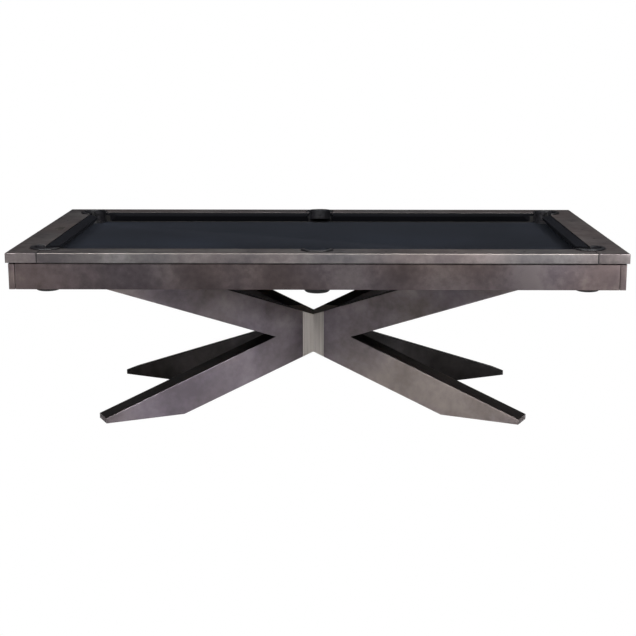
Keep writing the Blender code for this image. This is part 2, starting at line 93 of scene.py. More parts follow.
def sharp_edges(mesh, angle=math.radians(25)):
    """1 for each edge whose two faces turn by more than the angle, else 0."""
    work = bmesh.new()
    work.from_mesh(mesh)
    turns = np.array([edge.calc_face_angle(0.0) for edge in work.edges])
    work.free()
    return (turns > angle).astype(float)


def eased(node, name, material, small=0.0008, fold=None, on_fold=None, joint=0.0):
    """A copy of a CAD piece, its triangles merged into flat faces and its edges rounded.

    Edges turn at the small radius, and those whose midpoint passes on_fold at the fold radius. Both
    ends of the piece's longest way stand back by the joint.
    """
    work = bmesh.new()
    work.from_mesh(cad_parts[node].data)
    bmesh.ops.remove_doubles(work, verts=work.verts, dist=2e-6)
    bmesh.ops.dissolve_limit(work, angle_limit=math.radians(0.3), verts=work.verts, edges=work.edges)
    bmesh.ops.recalc_face_normals(work, faces=work.faces)
    low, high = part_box(node)
    way = max(range(3), key=lambda i: high[i] - low[i])
    for vert in work.verts:
        at_low, at_high = vert.co[way] < low[way] + 1e-4, vert.co[way] > high[way] - 1e-4
        vert.co[way] += joint * (at_low - at_high)
    mesh = bpy.data.meshes.new(name)
    work.to_mesh(mesh)
    work.free()
    for polygon in mesh.polygons:
        polygon.use_smooth = True
    obj = bpy.data.objects.new(name, mesh)
    bpy.context.scene.collection.objects.link(obj)
    ends = np.zeros(len(mesh.edges) * 2, np.int32)
    mesh.edges.foreach_get("vertices", ends)
    places = np.zeros(len(mesh.vertices) * 3)
    mesh.vertices.foreach_get("co", places)
    middles = places.reshape(-1, 3)[ends.reshape(-1, 2)].mean(axis=1)
    widest = fold or small
    weight = np.full(len(middles), small / widest)
    if on_fold is not None:
        weight[on_fold(middles)] = 1.0
    layer = mesh.attributes.new("bevel_weight_edge", "FLOAT", "EDGE")
    layer.data.foreach_set("value", (weight * sharp_edges(mesh)).astype(np.float32))
    bevel = obj.modifiers.new("eased_edges", "BEVEL")
    bevel.limit_method = "WEIGHT"
    bevel.width = widest
    bevel.segments = 3
    bevel.harden_normals = True
    mesh.materials.append(material)
    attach(obj, "table")
    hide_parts(node)
    return obj


def linished_steel(name, grain, shades=("#b5aca6", "#d2cbc5", "#eae5e0")):
    """Mild steel linished along one axis and lacquered: fine straight scratches over soft bands."""
    material, tree, shader = bare_finish(name, Metallic=1.0)
    where = add(tree, "TexCoord").outputs["Object"]
    # A 60 grit belt scratches about 0.3 mm apart. Drawn 1.5 mm apart and 150 mm long.
    scratch_map = add(tree, "Mapping", {"Vector": where, "Scale": grain})
    scratches = add(tree, "TexNoise", {"Vector": scratch_map.outputs["Vector"], "Scale": 1.0,
                                       "Detail": 3.0, "Roughness": 0.6}).outputs["Fac"]
    bands = add(tree, "TexNoise", {"Vector": scratch_map.outputs["Vector"], "Scale": 0.12,
                                   "Detail": 1.0}).outputs["Fac"]
    blend = add(tree, "Math", {0: scratches, 1: 0.55}, operation="MULTIPLY")
    both = add(tree, "Math", {0: bands, 1: 0.45, 2: blend.outputs[0]}, operation="MULTIPLY_ADD")
    colour = add(tree, "ValToRGB", {"Fac": both.outputs[0]}, list(zip((0.30, 0.5, 0.68), shades)))
    tree.links.new(colour.outputs["Color"], shader.inputs["Base Color"])
    rough = add(tree, "MapRange", {"Value": scratches, "To Min": 0.30, "To Max": 0.46})
    tree.links.new(rough.outputs["Result"], shader.inputs["Roughness"])
    bump = add(tree, "Bump", {"Height": scratches, "Strength": 0.12, "Distance": 0.0004})
    tree.links.new(bump.outputs["Normal"], shader.inputs["Normal"])
    return material


hub_steel = linished_steel("linished_steel_upright", (640, 640, 7))
eased("base_hub", "hub_shell", hub_steel, 0.0012)

# ------------------------------------------------------------------------------ legs
# Four welded boxes of 6 mm plate, each with an arm to the floor and an arm to the frame. The steel
# was blackened with an acid patina, rubbed back by hand in clouds, and sealed with satin lacquer.


def patinated_steel(name, stops, drift, clouds=5.0, rough=(0.40, 0.48), metal=1.0, painted_highlight=None,
                    ends=1.0):
    """Mild steel with a rubbed patina: clouds a hand wide, fine mottling in them, a slow drift.

    Rounded upper edges can turn to a paler given tone, a painted highlight. Towards both ends of the
    table, from x = 0.75 m to
    1.15 m, the colour rises to its tone times ends.
    """
    material, tree, shader = bare_finish(name, Metallic=metal, Specular_IOR_Level=0.5)
    where = add(tree, "TexCoord").outputs["Object"]
    # Clouds 90 to 200 mm across, then mottling of 15 to 40 mm inside them.
    cloud = add(tree, "TexNoise", {"Vector": where, "Scale": clouds, "Detail": 2.2, "Roughness": 0.5,
                                   "Distortion": 0.25}).outputs["Fac"]
    mottle = add(tree, "TexNoise", {"Vector": where, "Scale": 32.0, "Detail": 3.0,
                                    "Roughness": 0.6}).outputs["Fac"]
    grain = add(tree, "TexNoise", {"Vector": where, "Scale": 420.0, "Detail": 2.0}).outputs["Fac"]
    part = add(tree, "Math", {0: mottle, 1: 0.28}, operation="MULTIPLY")
    part = add(tree, "Math", {0: grain, 1: 0.07, 2: part.outputs[0]}, operation="MULTIPLY_ADD")
    value = add(tree, "Math", {0: cloud, 1: 0.65, 2: part.outputs[0]}, operation="MULTIPLY_ADD")
    colour = add(tree, "ValToRGB", {"Fac": value.outputs[0]}, stops).outputs["Color"]
    # The lacquer's warm and cool passages change over half a metre.
    slow = add(tree, "TexNoise", {"Vector": where, "Scale": 1.9, "Detail": 1.0}).outputs["Fac"]
    tint = add(tree, "ValToRGB", {"Fac": slow}, list(zip((0.36, 0.64), drift))).outputs["Color"]
    mixed = add(tree, "Mix", {"Factor": 1.0, 6: colour, 7: tint}, data_type="RGBA",
                blend_type="MULTIPLY").outputs[2]
    if painted_highlight:
        # Painted highlight: only a rounded edge has a normal between level and upright, and it takes the
        # paler tone.
        normal = add(tree, "NewGeometry").outputs["Normal"]
        lean = add(tree, "SeparateXYZ", {"Vector": normal}).outputs["Z"]
        onto = add(tree, "MapRange", {"Value": lean, "From Min": 0.15, "From Max": 0.45})
        off = add(tree, "MapRange", {"Value": lean, "From Min": 0.99, "From Max": 0.90})
        edge = add(tree, "Math", {0: onto.outputs[0], 1: off.outputs[0]}, operation="MULTIPLY")
        mixed = add(tree, "Mix", {"Factor": edge.outputs[0], 6: mixed, 7: linear(painted_highlight)},
                    data_type="RGBA").outputs[2]
    if ends != 1.0:
        along = add(tree, "SeparateXYZ", {"Vector": where}).outputs["X"]
        far = add(tree, "Math", {0: along}, operation="ABSOLUTE").outputs[0]
        gain = add(tree, "MapRange", {"Value": far, "From Min": 0.75, "From Max": 1.15, "To Min": 1.0,
                                      "To Max": ends}, interpolation_type="SMOOTHSTEP").outputs[0]
        mixed = add(tree, "VectorMath", {0: mixed, "Scale": gain}, operation="SCALE").outputs[0]
    tree.links.new(mixed, shader.inputs["Base Color"])
    roughness = add(tree, "MapRange", {"Value": value.outputs[0], "From Min": 0.35, "From Max": 0.65,
                                       "To Min": rough[1], "To Max": rough[0]})
    tree.links.new(roughness.outputs["Result"], shader.inputs["Roughness"])
    bump = add(tree, "Bump", {"Height": value.outputs[0], "Strength": 0.10, "Distance": 0.0006})
    tree.links.new(bump.outputs["Normal"], shader.inputs["Normal"])
    return material


leg_steel = patinated_steel("patinated_steel_legs",
                            [(0.36, "#837c7e"), (0.50, "#989193"), (0.64, "#b0a8aa")],
                            ("#f6f2ff", "#fffaf0"))
# A darker copy of the patina, painted shade: the faces towards the table's middle and the sloping ones
# take it.
shaded_steel = patinated_steel("patinated_steel_painted_shade",
                             [(0.36, "#474546"), (0.50, "#545152"), (0.64, "#625e60")],
                             ("#ffffff", "#fffaf4"))
QUARTERS = ("front_left", "front_right", "rear_left", "rear_right")
for quarter in QUARTERS:
    leg = eased("leg_" + quarter, "leg_box_" + quarter, leg_steel, 0.0018)
    leg.data.materials.append(shaded_steel)
    outward = -1 if quarter.startswith("front") else 1
    for polygon in leg.data.polygons:
        # Faces that don't look out to the front or back take the darker copy: painted shade.
        polygon.material_index = int(polygon.normal.y * outward < 0.35)

# ------------------------------------------------------------------------------ levelling feet
# Zinc plated M16 levelling feet, screwed up into a boss in each sole: a pressed pad with a hexagon
# above it for the spanner, and a threaded stem. Each one moves with its own foot body.

PAD_RADIUS = 0.022
PAD_HEIGHT = 0.006
COLLAR_RADIUS = 0.0125
STEM_RADIUS = 0.008
THREAD_PITCH = 0.002
THREAD_DEPTH = 0.0007
STEM_SIDES = 24
STEM_RINGS = 190
TIP_TAPER = 0.0012


def quads(rows, columns, wrap_rows=False, wrap_columns=False):
    """Faces between neighbouring points of a grid; a wrapped way joins its last line to its first."""
    i = np.arange(rows if wrap_rows else rows - 1)[:, None]
    j = np.arange(columns if wrap_columns else columns - 1)[None, :]
    i_next, j_next = (i + 1) % rows, (j + 1) % columns
    faces = np.stack(np.broadcast_arrays(i * columns + j, i * columns + j_next,
                                         i_next * columns + j_next, i_next * columns + j), axis=-1)
    return faces.reshape(-1, 4)


def tube_faces(rings, sides):
    """The faces of a run of rings, closed round each ring and shut by one face at either end."""
    ends = [list(range(sides)), list(range((rings - 1) * sides, rings * sides))]
    return quads(rings, sides, wrap_columns=True).tolist() + ends


def surface(name, points, faces, material, body="table", crease=math.radians(35)):
    """A piece made of points and faces: doubles merged, normals outwards, edges kept above crease."""
    mesh = bpy.data.meshes.new(name)
    mesh.from_pydata(np.asarray(points, float).reshape(-1, 3).tolist(), [], [list(f) for f in faces])
    work = bmesh.new()
    work.from_mesh(mesh)
    bmesh.ops.remove_doubles(work, verts=work.verts, dist=2e-6)
    bmesh.ops.dissolve_degenerate(work, edges=work.edges, dist=1e-7)
    bmesh.ops.recalc_face_normals(work, faces=work.faces)
    work.to_mesh(mesh)
    work.free()
    mesh.shade_smooth()
    mesh.set_sharp_from_angle(angle=crease)
    mesh.materials.append(material)
    obj = bpy.data.objects.new(name, mesh)
    bpy.context.scene.collection.objects.link(obj)
    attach(obj, body)
    return obj


def softened(corners, radii, steps=5):
    """A path with rounded corners: each is (1-t)^2 a + 2t(1-t) c + t^2 b, from a, a radius before
    the corner c, to b, a radius after it. A radius of 0 keeps the corner sharp."""
    c = np.array(corners, float)
    r = np.broadcast_to(np.array(radii, float), len(c))[:, None]
    back, ahead = np.roll(c, 1, axis=0) - c, np.roll(c, -1, axis=0) - c
    a = c + back / np.linalg.norm(back, axis=1, keepdims=True) * r
    b = c + ahead / np.linalg.norm(ahead, axis=1, keepdims=True) * r
    t = np.linspace(0, 1, steps)[:, None, None]
    return ((1 - t) ** 2 * a + 2 * t * (1 - t) * c + t ** 2 * b).transpose(1, 0, 2).reshape(-1, 2)


def turned(profile, centre, steps=48):
    """A (radius, height) profile spun about the vertical through a centre: x = r cos a, y = r sin a."""
    angle = np.linspace(0, 2 * math.pi, steps, endpoint=False)[None, :]
    radius, height = np.array(profile).T[:, :, None]
    points = np.stack([centre[0] + radius * np.cos(angle), centre[1] + radius * np.sin(angle),
                       height + 0 * angle], axis=-1)
    return points, quads(len(profile), steps, wrap_columns=True)


def zinc_plate(name):
    """Bright zinc plating on turned steel: pale, slightly blue, with soft grey clouding."""
    material, tree, shader = bare_finish(name, Metallic=1.0)
    where = add(tree, "TexCoord").outputs["Object"]
    # Plating clouds 4 to 8 mm across.
    cloud = add(tree, "TexNoise", {"Vector": where, "Scale": 160.0, "Detail": 2.0}).outputs["Fac"]
    colour = add(tree, "ValToRGB", {"Fac": cloud}, [(0.35, "#a3a6aa"), (0.65, "#c9ccd0")])
    tree.links.new(colour.outputs["Color"], shader.inputs["Base Color"])
    rough = add(tree, "MapRange", {"Value": cloud, "To Min": 0.28, "To Max": 0.45})
    tree.links.new(rough.outputs["Result"], shader.inputs["Roughness"])
    return material


zinc = zinc_plate("zinc_plated_steel")


def hexagon(height_low, height_high, across, centre, bevel=0.0006):
    """A hexagon prism with its rims chamfered, as six-sided rings: radius = across / (2 cos 30)."""
    r = across / 2 / math.cos(math.pi / 6)
    rings = [(0, height_low), (r - bevel, height_low), (r, height_low + bevel),
             (r, height_high - bevel), (r - bevel, height_high), (0, height_high)]
    return turned(rings, centre, steps=6)


for quarter in QUARTERS:
    low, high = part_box("levelling_foot_" + quarter)
    centre = ((low.x + high.x) / 2, (low.y + high.y) / 2)
    pad_top = low.z + PAD_HEIGHT
    hollow = low.z + 0.0005
    pad = softened([(0, hollow), (PAD_RADIUS - 0.006, hollow), (PAD_RADIUS - 0.005, low.z),
                    (PAD_RADIUS, low.z), (PAD_RADIUS, pad_top - 0.0015), (COLLAR_RADIUS, pad_top),
                    (0, pad_top)], [0, 0.0004, 0.0004, 0.0012, 0.0008, 0.0005, 0])
    points, faces = turned(pad, centre)
    foot = surface("foot_pad_" + quarter, points, faces, zinc, "foot_" + quarter)
    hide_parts("levelling_foot_" + quarter)
    height = np.linspace(pad_top - 0.001, high.z - TIP_TAPER, STEM_RINGS)[:, None]
    angle = np.linspace(0, 2 * math.pi, STEM_SIDES, endpoint=False)[None, :]
    # A helical thread: the radius follows a triangle wave of height over pitch less the turn.
    phase = (height / THREAD_PITCH - angle / (2 * math.pi)) % 1
    radius = STEM_RADIUS - THREAD_DEPTH * np.abs(2 * phase - 1)
    stem = np.stack([centre[0] + radius * np.cos(angle), centre[1] + radius * np.sin(angle),
                     height + 0 * angle], axis=-1)
    tip = np.full((1, STEM_SIDES, 3), (centre[0], centre[1], high.z))
    tip[..., :2] += 0.6 * (stem[-1:, :, :2] - np.array(centre))
    stem = np.concatenate([stem, tip])
    surface("foot_stem_" + quarter, stem, tube_faces(len(stem), STEM_SIDES), zinc,
            "foot_" + quarter)

# ------------------------------------------------------------------------------ mounting plates
# Flat plates of 8 mm steel between the upper arms and the wooden frame, patinated like the legs.
# They spread the top's weight over the beams.

for quarter in QUARTERS:
    eased("mounting_plate_" + quarter, "plate_" + quarter, leg_steel, 0.001)

# ------------------------------------------------------------------------------ wooden frame
# Beams of laminated veneer lumber on edge, sawn and sealed: two long, two at the ends and four
# across. Veneers 3 mm thick show as fine lines along each beam.

VENEER = 0.003


def laminated_wood(name, layers, along, shades=("#7a5a3a", "#a68158", "#c4a074")):
    """Veneer lumber: thin layers with dark glue lines between them, and grain along the beam."""
    material, tree, shader = bare_finish(name, Metallic=0.0)
    where = add(tree, "TexCoord").outputs["Object"]
    # A pale and a dark veneer make one wave, and a wave of this texture is 2 pi / (20 scale) metres.
    veneer = add(tree, "TexWave", {"Vector": where, "Scale": 2 * math.pi / 20 / (2 * VENEER),
                                   "Distortion": 1.2, "Detail": 1.0},
                 wave_type="BANDS", bands_direction=layers).outputs["Fac"]
    stretch = add(tree, "Mapping", {"Vector": where, "Scale": along})
    grain = add(tree, "TexNoise", {"Vector": stretch.outputs["Vector"], "Scale": 1.0, "Detail": 4.0,
                                   "Roughness": 0.65}).outputs["Fac"]
    part = add(tree, "Math", {0: veneer, 1: 0.35}, operation="MULTIPLY")
    value = add(tree, "Math", {0: grain, 1: 0.65, 2: part.outputs[0]}, operation="MULTIPLY_ADD")
    colour = add(tree, "ValToRGB", {"Fac": value.outputs[0]}, list(zip((0.25, 0.5, 0.75), shades)))
    tree.links.new(colour.outputs["Color"], shader.inputs["Base Color"])
    rough = add(tree, "MapRange", {"Value": grain, "To Min": 0.55, "To Max": 0.75})
    tree.links.new(rough.outputs["Result"], shader.inputs["Roughness"])
    bump = add(tree, "Bump", {"Height": value.outputs[0], "Strength": 0.25, "Distance": 0.0006})
    tree.links.new(bump.outputs["Normal"], shader.inputs["Normal"])
    return material


lengthwise_wood = laminated_wood("veneer_lumber_lengthwise", "Y", (3, 90, 90))
crosswise_wood = laminated_wood("veneer_lumber_crosswise", "X", (90, 3, 90))
for side in ("front", "rear"):
    eased("frame_beam_" + side, "long_beam_" + side, lengthwise_wood, 0.0015)
for side in ("left", "right"):
    eased("frame_end_" + side, "end_beam_" + side, crosswise_wood, 0.0015)
for place in ("far_left", "near_left", "near_right", "far_right"):
    eased("cross_beam_" + place, "cross_rail_" + place, crosswise_wood, 0.0015)

# ------------------------------------------------------------------------------ slate
# Three slabs of 25 mm slate, diamond ground on both faces and laid side by side on the frame. They
# show from below and at the pockets.


def ground_slate(name):
    """Ground slate: blue-grey, matt, with pale cleavage streaks and a fine grind."""
    material, tree, shader = bare_finish(name, Metallic=0.0)
    where = add(tree, "TexCoord").outputs["Object"]
    # Streaks 30 mm wide and 150 mm long.
    stretch = add(tree, "Mapping", {"Vector": where, "Scale": (6, 30, 30)})
    streak = add(tree, "TexNoise", {"Vector": stretch.outputs["Vector"], "Scale": 1.0, "Detail": 5.0,
                                    "Roughness": 0.6, "Distortion": 0.4}).outputs["Fac"]
    colour = add(tree, "ValToRGB", {"Fac": streak},
                 [(0.3, "#3c4148"), (0.55, "#50565d"), (0.75, "#6b7076")])
    tree.links.new(colour.outputs["Color"], shader.inputs["Base Color"])
    rough = add(tree, "MapRange", {"Value": streak, "To Min": 0.62, "To Max": 0.82})
    tree.links.new(rough.outputs["Result"], shader.inputs["Roughness"])
    grind = add(tree, "TexNoise", {"Vector": where, "Scale": 900.0, "Detail": 2.0}).outputs["Fac"]
    bump = add(tree, "Bump", {"Height": grind, "Strength": 0.15, "Distance": 0.0003})
    tree.links.new(bump.outputs["Normal"], shader.inputs["Normal"])
    return material


slate_stone = ground_slate("ground_slate")
for place in ("left", "middle", "right"):
    eased("slate_" + place, "slab_" + place, slate_stone, 0.0012)

# ------------------------------------------------------------------------------ bed cloth
# Worsted wool cloth in charcoal, stretched flat over the slate and cut round the pockets. Its
# short nap gives it a cool, soft sheen where it is seen at a low angle.

TWILL_STEP = 0.0025


def worsted_cloth(name, stops, sheen=0.06):
    """Worsted billiard cloth: a fine twill under a short nap, with a faint drift in its shade."""
    material, tree, shader = bare_finish(name, Metallic=0.0, Roughness=0.92, Specular_IOR_Level=0.04,
                                         Sheen_Weight=sheen, Sheen_Roughness=0.45,
                                         Sheen_Tint=linear("#8f96a8"))
    where = add(tree, "TexCoord").outputs["Object"]
    slow = add(tree, "TexNoise", {"Vector": where, "Scale": 1.6, "Detail": 1.5}).outputs["Fac"]
    # The twill's lines are 0.5 mm apart; drawn 2.5 mm apart, slanting, so that they show.
    twill_map = add(tree, "Mapping", {"Vector": where, "Rotation": (0, 0, math.radians(45))})
    twill = add(tree, "TexWave", {"Vector": twill_map.outputs["Vector"], "Distortion": 0.6,
                                  "Scale": 2 * math.pi / 20 / TWILL_STEP, "Detail": 1.0},
                wave_type="BANDS", bands_direction="X").outputs["Fac"]
    nap = add(tree, "TexNoise", {"Vector": where, "Scale": 300.0, "Detail": 3.0}).outputs["Fac"]
    part = add(tree, "Math", {0: twill, 1: 0.05}, operation="MULTIPLY")
    part = add(tree, "Math", {0: nap, 1: 0.20, 2: part.outputs[0]}, operation="MULTIPLY_ADD")
    value = add(tree, "Math", {0: slow, 1: 0.75, 2: part.outputs[0]}, operation="MULTIPLY_ADD")
    colour = add(tree, "ValToRGB", {"Fac": value.outputs[0]}, stops)
    tree.links.new(colour.outputs["Color"], shader.inputs["Base Color"])
    weave = add(tree, "Math", {0: twill, 1: nap}, operation="ADD")
    bump = add(tree, "Bump", {"Height": weave.outputs[0], "Strength": 0.25, "Distance": 0.0004})
    tree.links.new(bump.outputs["Normal"], shader.inputs["Normal"])
    return material


bed_wool = worsted_cloth("worsted_cloth_bed",
                         [(0.35, "#111317"), (0.50, "#16181d"), (0.65, "#1b1e25")])
cloth = eased("bed_cloth", "cloth_on_bed", bed_wool, 0.0004)
low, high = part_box("bed_cloth")

# ------------------------------------------------------------------------------ rail cores
# Veneer lumber rails, bolted up through the slate, with a ledge that the cushions are glued to.
# They are stained black, so that no bare wood shows in the pockets.

stained_wood = laminated_wood("black_stained_lumber", "Z", (5, 60, 60),
                              ("#0b0a0a", "#121111", "#1a1817"))
RAILS = (*QUARTERS, "left", "right")
for name in RAILS:
    eased("rail_core_" + name, "rail_wood_" + name, stained_wood, 0.0006)

# ------------------------------------------------------------------------------ cushions
# Natural rubber strips with a rounded nose and an undercut face, glued to the ledges and covered
# with the same cloth, which is tucked in along the cap and folded over each cut end.

# A cut end runs this far along the rail for each metre of depth: cuts of 142 and 104 degrees.
CORNER_RUN = 1 / math.tan(math.radians(180 - 142))
SIDE_RUN = 1 / math.tan(math.radians(180 - 104))
NOSE_DROP = 0.009
LEDGE_HEIGHT = 0.0275
LEDGE_DEPTH = 0.0203
END_ROUND = 0.003
HALF_SECTION = 0.016
END_RINGS = 6
RUN_RINGS = 30

# The same cloth as the bed's, drawn darker: painted shade for the cushions, whose noses and undercut
# faces lie in the rails' shadow.
shaded_rail_wool = worsted_cloth("worsted_cloth_rails_painted_shade",
                          [(0.35, "#0a0a0c"), (0.50, "#0e0e11"), (0.65, "#121215")], sheen=0.03)


def cushion_strip(low_end, high_end, first_run, last_run, reach, heel, top):
    """A cushion in its own frame of (along, depth behind the nose, height).

    The section is a closed path with a rounded nose. It is carried from one cut end to the other:
    along = (1-s) first(depth) + s last(depth). At each end the cloth is tucked: from the end's face
    the section grows on a quarter circle of END_ROUND, then the cloth turns back to the cut.
    """
    nose = top - NOSE_DROP
    ledge = reach - LEDGE_DEPTH
    section = softened([(0.0, nose - 0.0035), (0.0, nose + 0.0032), (reach - 0.0045, top - 0.0002),
                        (reach - 0.0028, top - 0.0030), (reach, top - 0.0012),
                        (reach, heel + LEDGE_HEIGHT), (ledge, heel + LEDGE_HEIGHT), (ledge, heel),
                        (reach - 0.0240, heel)],
                       [0.0025, 0.0028, 0.0012, 0.0010, 0.0006, 0.0006, 0.0010, 0.0015, 0.0015], steps=6)
    turn = np.linspace(math.pi / 2, 0, END_RINGS)
    tuck = END_ROUND * (1 - np.sin(turn))
    shrink = END_ROUND * (1 - np.cos(turn))
    level = np.zeros(RUN_RINGS)
    share = np.concatenate([0 * turn, np.linspace(0, 1, RUN_RINGS), 0 * turn + 1])[:, None]
    inward = np.concatenate([tuck, level, -tuck[::-1]])[:, None]
    shrink = np.concatenate([shrink, level, shrink[::-1]])[:, None, None]
    middle = section.mean(axis=0)
    ring = middle + (section - middle) * (1 - shrink / HALF_SECTION)
    depth, height = ring[..., 0], ring[..., 1]
    first = low_end + (reach - depth) * first_run
    last = high_end - (reach - depth) * last_run
    along = (1 - share) * first + share * last + inward
    return np.stack([along, depth, height], axis=-1), tube_faces(len(share), len(section))


for name in RAILS:
    low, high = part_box("cushion_" + name)
    if name in QUARTERS:
        runs = (CORNER_RUN, SIDE_RUN) if name.endswith("left") else (SIDE_RUN, CORNER_RUN)
        outward = -1 if name.startswith("front") else 1
        nose_y = high.y if outward < 0 else low.y
        points, faces = cushion_strip(low.x, high.x, *runs, high.y - low.y, low.z, high.z)
        place = np.stack([points[..., 0], nose_y + outward * points[..., 1], points[..., 2]], axis=-1)
    else:
        outward = -1 if name == "left" else 1
        nose_x = high.x if outward < 0 else low.x
        points, faces = cushion_strip(low.y, high.y, CORNER_RUN, CORNER_RUN, high.x - low.x, low.z,
                                      high.z)
        place = np.stack([nose_x + outward * points[..., 1], points[..., 0], points[..., 2]], axis=-1)
    strip = surface("cushion_cover_" + name, place, faces, shaded_rail_wool)
    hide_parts("cushion_" + name)

# ------------------------------------------------------------------------------ aprons
# Folded trays of 3 mm steel that hang under the caps, set back from them. The patina is the same as
# the legs', a little darker, and lighter towards both ends. Their edges are eased by 1.5 mm.

apron_steel = patinated_steel("patinated_steel_aprons",
                              [(0.36, "#474242"), (0.50, "#5a5353"), (0.64, "#736c69")],
                              ("#fff3ee", "#f3f1fb"), clouds=4.0, ends=1.7)
APRON_JOINT = 0.002
SIDES = ("front", "rear", "left", "right")
LONG_SIDES = SIDES[:2]
ON_FACE = 0.0008


def apron_folds(low, high):
    """Picks the edges on an apron's outer skin: on its box's outer faces, along their rims."""
    def pick(middles):
        gaps = np.minimum(np.abs(middles - np.array(low)), np.abs(middles - np.array(high)))
        return (gaps < ON_FACE).sum(axis=1) >= 2
    return pick


for side in SIDES:
    eased("apron_" + side, "apron_tray_" + side, apron_steel, 0.0005, 0.0015,
          apron_folds(*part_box("apron_" + side)), joint=APRON_JOINT if side in LONG_SIDES else 0.0)

# ------------------------------------------------------------------------------ caps
# Caps of 3 mm steel over the rails: two long ones between two end caps that run the table's full
# depth, folded down at the outside and welded shut at their ends. Rubbed brighter than the aprons.

cap_rub = {"stops": [(0.36, "#656162"), (0.50, "#7c7776"), (0.64, "#979290")],
           "drift": ("#fdf3f4", "#f4f6fa"), "rough": (0.42, 0.50)}
cap_steel = patinated_steel("patinated_steel_caps", **cap_rub)
# The folds of the long caps carry a painted highlight, a paler tone on their rounded edges; the edges
# over the cushions take the darker copy, painted shade.
highlighted_cap_steel = patinated_steel("patinated_steel_painted_highlight", painted_highlight="#a8a09b", **cap_rub)
CAP_JOINT = 0.0042


def cap_folds(low, high):
    """Picks a cap's outer top edges and its upright corners, which are folded or welded."""
    reach = np.maximum(np.abs(low), np.abs(high))

    def pick(middles):
        outside = (reach[:2] - np.abs(middles[:, :2]) < ON_FACE).sum(axis=1)
        return (outside >= 2) | ((outside >= 1) & (high.z - middles[:, 2] < ON_FACE))
    return pick


for side in SIDES:
    long_side = side in LONG_SIDES
    cap = eased("cap_" + side, "rail_cap_" + side, highlighted_cap_steel if long_side else cap_steel,
                0.0006, 0.0022, cap_folds(*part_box("cap_" + side)),
                joint=CAP_JOINT if long_side else 0.0)
    cap.data.materials.append(shaded_steel)
    for polygon in cap.data.polygons:
        inward = polygon.center.xy.dot(polygon.normal.xy) < 0
        # The edge over the cushions is narrow and upright and takes the darker copy, painted shade; the
        # folded skirts are larger.
        if inward and abs(polygon.normal.z) < 0.3 and polygon.area < 0.02:
            polygon.material_index = 1

# A black strip, 1 mm below the surface, fills each joint between a long cap and an end cap: painted
# shade, for the shadow in the joint.
STRIP_GAP = 0.0001
STRIP_DEPTH = 0.001
BOX_FACES = [(0, 1, 3, 2), (4, 5, 7, 6), (0, 1, 5, 4), (2, 3, 7, 6), (0, 2, 6, 4), (1, 3, 7, 5)]
shadow_strip_black = bare_finish("painted_shadow_black", Base_Color=linear("#0b0a0b"), Roughness=0.7)[0]
for quarter in QUARTERS:
    row, column = quarter.split("_")
    low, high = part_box("cap_" + row)
    start = low.x if column == "left" else high.x - CAP_JOINT
    x = (start + STRIP_GAP, start + CAP_JOINT - STRIP_GAP)
    y = (low.y + STRIP_DEPTH, high.y) if row == "front" else (low.y, high.y - STRIP_DEPTH)
    z = (low.z + STRIP_DEPTH, high.z - STRIP_DEPTH)
    surface("joint_shadow_strip_" + quarter, [(a, b, c) for c in z for b in y for a in x], BOX_FACES,
            shadow_strip_black)

# ------------------------------------------------------------------------------ pocket rims
# Moulded rubber rims, glossy black. Each is a C open to the bed: a liner that lines the pocket's
# throat, and a crowned lip that stands on the caps and thins out towards the two ends.

CORNER_SWEEP = math.radians(116.0)
SIDE_SWEEP = math.radians(102.5)
LIP_WIDTH = 0.0138
RIM_BORE = 0.0542
LINER_RADIUS = 0.0578
TAPER = math.radians(42)
RIM_RINGS = 97
CROWN_MARGIN = 0.0004
FIT_GAP = 0.0003


def black_rubber(name, gloss, deep):
    """Moulded black rubber, with the mould's faint ripple and a wiped shine."""
    material, tree, shader = bare_finish(name, Metallic=0.0, IOR=1.52, Specular_IOR_Level=0.5)
    where = add(tree, "TexCoord").outputs["Object"]
    # Wipe marks and dust 8 to 20 mm across.
    smear = add(tree, "TexNoise", {"Vector": where, "Scale": 75.0, "Detail": 3.0}).outputs["Fac"]
    colour = add(tree, "ValToRGB", {"Fac": smear}, [(0.35, deep), (0.7, "#1d1c20")])
    tree.links.new(colour.outputs["Color"], shader.inputs["Base Color"])
    rough = add(tree, "MapRange", {"Value": smear, "From Min": 0.3, "From Max": 0.7,
                                   "To Min": gloss, "To Max": gloss + 0.14})
    tree.links.new(rough.outputs["Result"], shader.inputs["Roughness"])
    bump = add(tree, "Bump", {"Height": smear, "Strength": 0.08, "Distance": 0.0008})
    tree.links.new(bump.outputs["Normal"], shader.inputs["Normal"])
    return material


rim_rubber = black_rubber("gloss_black_rubber", 0.27, "#121214")
cup_rubber = black_rubber("satin_black_rubber", 0.38, "#0c0c0e")


def pocket_middle(name):
    """The pocket's centre, from its cup, and the bearing of its outward side."""
    low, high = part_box("pocket_cup_" + name)
    centre = (low + high) / 2
    column = name.split("_")[1]
    outward = {"left": -1, "middle": 0, "right": 1}[column]
    return centre, math.atan2(-1 if name.startswith("front") else 1, outward)


